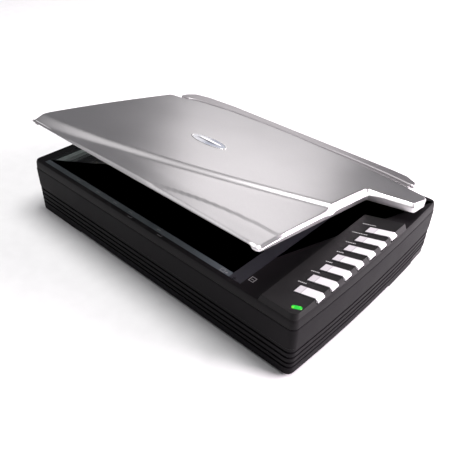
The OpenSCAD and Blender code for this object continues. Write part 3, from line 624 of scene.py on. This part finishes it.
def build_cover():
    near = behind_lid(lambda x: 0.7, -262, 252)
    far = behind_lid(lambda x: 14.0, -262, 250)
    ledge = rounded([(p.x, p.y, 0) for p in near + far[::-1]])

    def ledge_rings(i, p, step):
        def at(inset, z):
            q = p + step * inset
            return (q.x, q.y, z)

        return [
            at(0.4, LEDGE_FOOT),
            at(0.0, LEDGE_FOOT + 0.4),
            at(0.0, LEDGE_TOP - 0.5),
            at(0.15, LEDGE_TOP - 0.15),
            at(0.5, LEDGE_TOP),
        ]

    obj = closed_shell(
        "cover_ledge", ledge, ledge_rings, lambda x, y: LEDGE_TOP, lambda x, y: LEDGE_FOOT, LID, 12.0, 12.0
    )
    finish_piece(obj, SHADED_COVER_SILVER, "lid", (), 50.0)

    front = behind_lid(lambda x: 0.7 + valley(x), -254, 244)
    corners = [(p.x, p.y, 0) for p in front]
    corners += [(251, front[-1].y - 0.8, 4), (248, 187, 14), (228, 204, 16), (196, COVER_BACK, 40)]
    corners += [(-170, COVER_BACK, 70), (-240, 200, 50), (-265, 186, 16), (-273, 163, 16)]
    corners.append((-271, front[0].y - 2.2, 5))

    def cap_rings(i, p, step):
        t = smoothstep((p.y - 180) / 20)
        width = 3.0 + 5.0 * t
        foot = LEDGE_FOOT - (LEDGE_FOOT - COVER_LIP) * t
        side = LEDGE_TOP + 0.3 - 2.6 * t

        def at(inset, z):
            q = p + step * inset
            return (q.x, q.y, z)

        round_over = [
            at(f * width, COVER_TOP - (COVER_TOP - side) * (1 - f) ** 2.2)
            for f in (0.0, 0.06, 0.15, 0.3, 0.5, 0.75, 1.0)
        ]
        return [at(2.2, 115.0), at(2.2, foot), at(0.4, foot), at(0.0, foot + 0.4)] + round_over

    obj = closed_shell(
        "cover_cap", rounded(corners), cap_rings, lambda x, y: COVER_TOP, lambda x, y: 115.0, LID, 6.0, 12.0
    )
    finish_piece(obj, SHADED_COVER_SILVER, "lid", ("hinge_cover",), 50.0)


build_cover()

# Document pad: a thin foam pad with a film face, softly crowned and rounded at its edges
pad_low, pad_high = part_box("document_pad")
PAD_X = (pad_low.x / MM, pad_high.x / MM)
PAD_Y = (-165.0, 132.0)
PAD_TOP = 104.2
PAD_FACE = 101.5


def build_pad():
    outline = rounded(
        [(PAD_X[0], PAD_Y[0], 7), (PAD_X[1], PAD_Y[0], 7), (PAD_X[1], PAD_Y[1], 7), (PAD_X[0], PAD_Y[1], 7)],
        spacing=8.0,
    )

    def face(x, y):
        edge = min(x - PAD_X[0], PAD_X[1] - x, y - PAD_Y[0], PAD_Y[1] - y)
        swell = smoothstep(edge / 14)
        seam = math.sin(x * 0.061 + 0.4) * math.sin(y * 0.083 + 1.1)
        return PAD_FACE + 0.5 * (1 - swell) + 0.06 * (1 + seam)

    def rings(i, p, step):
        def at(inset, z):
            q = p + step * inset
            return (q.x, q.y, z)

        inner = p + step * 3.2
        return [
            (inner.x, inner.y, face(inner.x, inner.y)), at(1.6, PAD_FACE + 0.62), at(0.6, PAD_FACE + 1.0),
            at(0.1, PAD_FACE + 1.6), at(0.1, PAD_TOP - 0.5), at(0.7, PAD_TOP),
        ]

    obj = closed_shell("foam_pad", outline, rings, lambda x, y: PAD_TOP, face, LID, 40.0, 9.0)
    finish_piece(obj, PAD, "lid", ("document_pad",), 50.0)


build_pad()

# Badge: an oval with a raised rim, a tinted face and a plain two-band mark
BADGE = (-47.0, -3.0)
BADGE_HALF = (39.5, 15.5)
BADGE_FACE = banded(
    "badge_face",
    surface("badge_lacquer", (0.88, 0.89, 0.90), (0.96, 0.97, 0.98), 0.25, 0.05, 600, 0.01, 60, 0.4),
    [(0.0, (0.50, 0.51, 0.52)), (0.38, (0.46, 0.47, 0.49)), (0.56, (0.20, 0.22, 0.27)), (1.0, (0.32, 0.34, 0.38))],
    "X",
    (BADGE[0] - 40) * MM,
    (BADGE[0] + 40) * MM,
)


def badge_point(share, angle, lift):
    x = BADGE[0] + BADGE_HALF[0] * share * math.cos(angle)
    y = BADGE[1] + BADGE_HALF[1] * share * math.sin(angle)
    return (x, y, lid_top(x, y) + lift)


def build_badge():
    rim_profile = [
        (0.90, -0.3), (1.0, -0.3), (1.0, 0.35), (0.985, 0.62), (0.955, 0.7), (0.92, 0.62), (0.90, 0.4),
    ]
    turns = 96
    points, faces = [], []
    for share, lift in rim_profile:
        points += [badge_point(share, 2 * math.pi * k / turns, lift) for k in range(turns)]
    levels = len(rim_profile)
    for a in range(levels):
        b = (a + 1) % levels
        for k in range(turns):
            j = (k + 1) % turns
            faces.append([a * turns + k, a * turns + j, b * turns + j, b * turns + k])
    rim = mesh_object("badge_rim", points, faces, LID)
    finish_piece(rim, BADGE_RIM, "lid", ("lid_badge",), 60.0)

    shares = [0.915, 0.6, 0.3]
    points = [badge_point(0.915, 2 * math.pi * k / turns, -0.2) for k in range(turns)]
    for share in shares:
        points += [badge_point(share, 2 * math.pi * k / turns, 0.3 + 0.25 * (1 - share)) for k in range(turns)]
    faces = []
    for a in range(len(shares)):
        for k in range(turns):
            j = (k + 1) % turns
            faces.append([a * turns + k, a * turns + j, (a + 1) * turns + j, (a + 1) * turns + k])
    points.append(badge_point(0, 0, 0.55))
    top = len(points) - 1
    last = len(shares) * turns
    faces += [[last + k, last + (k + 1) % turns, top] for k in range(turns)]
    points.append(badge_point(0, 0, -0.2))
    faces += [[(k + 1) % turns, k, top + 1] for k in range(turns)]
    face = mesh_object("badge_face", points, faces, LID)
    finish_piece(face, BADGE_FACE, "lid", (), 60.0)

    def band(name, material, start, end, low, high, lift):
        """A lens-shaped band across the badge between two curves of the same ends."""
        count = 28
        pts, fcs = [], []
        for k in range(count + 1):
            t = k / count
            x = start + (end - start) * t
            swell = math.sin(math.pi * t) ** 0.5 + 0.02
            tilt = -0.05 * (x - BADGE[0])
            for y, up in ((low, -0.1), (low, lift), (high, lift), (high, -0.1)):
                yy = BADGE[1] + tilt + (low + high) / 2 + (y - (low + high) / 2) * swell
                share = math.hypot((x - BADGE[0]) / BADGE_HALF[0], (yy - BADGE[1]) / BADGE_HALF[1])
                pts.append((x, yy, lid_top(x, yy) + 0.3 + 0.25 * (1 - share) + up))
        for k in range(count):
            for c in range(4):
                d = (c + 1) % 4
                fcs.append([4 * k + c, 4 * k + d, 4 * k + 4 + d, 4 * k + 4 + c])
        fcs += [[3, 2, 1, 0], [4 * count, 4 * count + 1, 4 * count + 2, 4 * count + 3]]
        piece = mesh_object(name, pts, fcs, LID)
        bm = bmesh.new()
        bm.from_mesh(piece.data)
        bmesh.ops.recalc_face_normals(bm, faces=bm.faces)
        bm.to_mesh(piece.data)
        bm.free()
        finish_piece(piece, material, "lid", (), 30.0)

    band("badge_band_light", BADGE_STRIPE, BADGE[0] - 25, BADGE[0] + 27, 0.6, 6.4, 0.16)
    band("badge_band_dark", CHIP, BADGE[0] - 27, BADGE[0] + 18, -3.2, -0.6, 0.14)


build_badge()


# Marks: thin raised prints -------------------------------------------------------------------


def prints(name, shapes, material, body, matrix, thick=0.12):
    """Thin raised prints, each an outline of (x, y) corners at its own height."""
    points, faces = [], []
    for corners, z in shapes:
        base = len(points)
        count = len(corners)
        points += [(x, y, z - 0.05) for x, y in corners] + [(x, y, z + thick) for x, y in corners]
        faces.append([base + k for k in range(count)][::-1])
        faces.append([base + count + k for k in range(count)])
        for k in range(count):
            j = (k + 1) % count
            faces.append([base + k, base + j, base + count + j, base + count + k])
    obj = mesh_object(name, points, faces, matrix)
    bm = bmesh.new()
    bm.from_mesh(obj.data)
    bmesh.ops.recalc_face_normals(bm, faces=bm.faces)
    bm.to_mesh(obj.data)
    bm.free()
    return finish_piece(obj, material, body, (), 30.0)


def bar(x, y, length, width, slope=0.0):
    """A bar from (x, y) along a line that climbs by slope for each unit of X."""
    run = length / math.hypot(1, slope)
    return [(x, y), (x + run, y + run * slope), (x + run, y + run * slope + width), (x, y + width)]


def frame_mark(x, y, w, h, line):
    """The four bars of an outlined page."""
    return [
        [(x, y), (x + w, y), (x + w, y + line), (x, y + line)],
        [(x, y + h - line), (x + w, y + h - line), (x + w, y + h), (x, y + h)],
        [(x, y + line), (x + line, y + line), (x + line, y + h - line), (x, y + h - line)],
        [(x + w - line, y + line), (x + w, y + line), (x + w, y + h - line), (x + w - line, y + h - line)],
    ]


BUTTON_PITCH = 29.1
FIRST_BUTTON_Y = -137.4


def button_y(i):
    return FIRST_BUTTON_Y + BUTTON_PITCH * i


def button_slope(i):
    return math.tan(math.radians(15.5 + 7.0 * i / 6))


label_shapes = []
label_lengths = (12, 12, 9, 10.5, 14, 21, 21)
dash_sets = ((1.9, 1.3, 1.6), (1.5, 1.9, 1.3), (1.3, 1.6, 1.9))
for i, length in enumerate(label_lengths):
    slope = button_slope(i)
    end = 259.2
    x = end - length * math.cos(math.atan(slope))
    widths = dash_sets[i % 3]
    k = 0
    while x < end - 0.9:
        w = widths[k % 3]
        y = button_y(i) + 7.2 - (255.8 - 0.37 * i - x) * slope
        label_shapes.append((bar(x, y, w, 1.5, slope), PANEL_Z))
        x += w + 0.75
        k += 1
prints("panel_marks", label_shapes, LABEL, "base", BODY, 0.08)

ruler_shapes = []
for x in (-178, -124, -80, -42, 24):
    for k, (dx, w) in enumerate(((0, 2.2), (3.0, 1.6), (5.4, 2.4))):
        ruler_shapes.append((bar(x + dx - 4, -177.2 + 0.5 * (k % 2), w, 1.6), RULER_Z))
for x in (-262, -206, -150, -96, -55, 60, 96, 130):
    ruler_shapes.append((bar(x, -173.4, 0.5, 2.0), RULER_Z))
for corners in frame_mark(151, -180, 7.5, 6.5, 0.7):
    ruler_shapes.append((corners, RULER_Z))
ruler_shapes.append(([(160.5, -178.6), (164.5, -178.6), (162.5, -175.2)], RULER_Z))
prints("ruler_marks", ruler_shapes, MARK, "base", BODY, 0.08)

bezel_shapes = []
for x in (-38, 30):
    for corners in ([(x, -185.6), (x + 8, -185.6), (x + 8, -184.9), (x, -184.9)],
                    [(x + 8, -185.6), (x + 8.7, -185.6), (x + 8.7, -182.4), (x + 8, -182.4)]):
        bezel_shapes.append((corners, BEZEL_Z))
bezel_shapes.append(([(174, -181.5), (181, -178), (174.5, -175.5), (176.6, -178.4)], BEZEL_Z + 0.02))
for corners in frame_mark(192.5, -168, 8.5, 9.5, 0.9):
    bezel_shapes.append((corners, BEZEL_Z))
bezel_shapes.append((bar(194.8, -164.0, 4.0, 0.9), BEZEL_Z))
prints("bezel_marks", bezel_shapes, MARK, "base", BODY, 0.08)

# Shells and console: CAD shapes with rounded edges -------------------------------------------

softened("lower_housing", "lower_shell", 0.45, BLACK_SHELL, "base")
softened("upper_housing", "upper_shell", 0.6, BLACK_CAP, "base")
softened("button_panel", "button_console", 0.6, PANEL, "base")
for i in range(7):
    softened(f"button_{i + 1}", f"push_button_{i + 1}", 0.45, BUTTON_PAINTED_LIGHT, f"button_{i + 1}", 30.0, 3)
softened("status_led", "status_window", 0.3, LED, "base")
softened("rubber_feet", "feet", 0.5, RUBBER, "base")
softened("lid_bumpers", "bumpers", 0.5, RUBBER, "lid")
softened("power_switch", "rocker", 0.4, DARK_PLASTIC, "power_switch")
softened("transport_lock", "lock_slider", 0.4, ORANGE, "transport_lock")
softened("carriage_housing", "carriage_body", 0.5, CARRIAGE, "carriage")

# Finishes of the CAD nodes that stay ---------------------------------------------------------

FINISHES = {
    "scan_glass": GLASS,
    "glass_gasket": FOAM,
    "front_ruler": RULER_BLUE,
    "side_ruler": RULER_DARK,
    "calibration_strip": WHITE_STRIP,
    "housing_screws": STEEL,
    "main_board": BOARD,
    "board_chips": CHIP,
    "button_board": BOARD,
    "tact_switches": CHIP,
    "guide_rod": POLISHED,
    "rod_clamps": DARK_PLASTIC,
    "support_rail": STEEL,
    "stepper_motor": MOTOR,
    "motor_bracket": STEEL,
    "drive_belt": BELT,
    "drive_gear": ACETAL,
    "motor_pinion": BRASS,
    "idler_pulley": ACETAL,
    "idler_bracket": STEEL,
    "belt_spring": STEEL,
    "port_plate": DARK_PLASTIC,
    "usb_socket": PORT_METAL,
    "dc_jack": DARK_PLASTIC,
    "switch_frame": DARK_PLASTIC,
    "hinge_sockets": DARK_PLASTIC,
    "hinge_posts": DARK_PLASTIC,
    "hinge_brackets": DARK_PLASTIC,
    "hinge_pins": POLISHED,
    "lid_liner": LINER,
    "carriage_cover": CARRIAGE_TOP_PAINTED_LIGHT,
    "lamp_tube": LAMP,
    "lamp_reflector": FOIL,
    "mirrors": MIRROR,
    "lens_barrel": DARK_PLASTIC,
    "sensor_board": BOARD,
    "sensor_chip": CHIP,
    "carriage_bushings": BRONZE,
    "glide_pad": ACETAL,
    "belt_clip": DARK_PLASTIC,
}
for node, finish in FINISHES.items():
    obj = frame["nodes"][node]
    obj.data.materials.clear()
    obj.data.materials.append(finish)
    obj.data.shade_smooth()
    obj.data.set_sharp_from_angle(angle=math.radians(30))

# Stage, lights and camera --------------------------------------------------------------------

FLOOR = surface("floor_paper", grey(0.86), grey(0.90), 0.9, 0.05, 40, 0.0, 4, 0.0, 0.1)
HALF_FLOOR = 12.0
floor_corners = [(x * HALF_FLOOR, y * HALF_FLOOR, 0) for x, y in ((-1, -1), (1, -1), (1, 1), (-1, 1))]
floor = mesh_object("floor", floor_corners, [[0, 1, 2, 3]], Matrix())
floor.data.materials.append(FLOOR)


def softbox(name, place, look_at, size, watts, colour):
    light = bpy.data.lights.new(name, "AREA")
    light.shape = "RECTANGLE"
    light.size, light.size_y = size
    light.energy = watts
    light.color = colour
    obj = bpy.data.objects.new(name, light)
    bpy.context.scene.collection.objects.link(obj)
    obj.location = place
    obj.rotation_mode = "QUATERNION"
    obj.rotation_quaternion = (Vector(look_at) - Vector(place)).to_track_quat("-Z", "Y")
    return obj


softbox("overhead", (-1.1, -0.25, 2.6), (-1.1, -0.2499, 0.0), (3.4, 2.3), 24, (1.0, 0.985, 0.99))
softbox("top_key", (0.2, 0.45, 2.9), (0.0, 0.0, 0.0), (1.0, 1.0), 66, (1.0, 0.985, 0.99))
softbox("back_left", (-1.55, 2.4, 1.32), (0.0, 0.0, 0.12), (1.25, 1.6), 8.6, (1.0, 0.975, 0.985))
softbox("right_back", (2.0, 1.4, 0.95), (0.2, 0.0, 0.05), (1.8, 0.9), 165, (1.0, 0.90, 0.97))

world = bpy.data.worlds.new("studio")
bpy.context.scene.world = world
world.use_nodes = True
sky = world.node_tree.nodes["Background"]
sky.inputs["Color"].default_value = (0.93, 0.94, 1.0, 1)
sky.inputs["Strength"].default_value = 0.15

AZIMUTH, ELEVATION, ROLL = (math.radians(a) for a in (41.97, 36.42, 1.28))
TARGET = BODY @ Vector((49.3, -50.0, 50.0))
DISTANCE = 0.9268
back = Vector(
    (math.sin(AZIMUTH) * math.cos(ELEVATION), -math.cos(AZIMUTH) * math.cos(ELEVATION), math.sin(ELEVATION))
)
camera = bpy.data.objects.new("camera", bpy.data.cameras.new("camera"))
bpy.context.scene.collection.objects.link(camera)
camera.data.sensor_width = 36.0
camera.data.lens = 44.25
camera.data.clip_start = 0.05
camera.data.clip_end = 50.0
camera.location = TARGET + back * DISTANCE
camera.rotation_mode = "QUATERNION"
camera.rotation_quaternion = (-back).to_track_quat("-Z", "Y") @ Quaternion((0, 0, 1), ROLL)
bpy.context.scene.camera = camera
bpy.context.scene.view_settings.view_transform = "Standard"
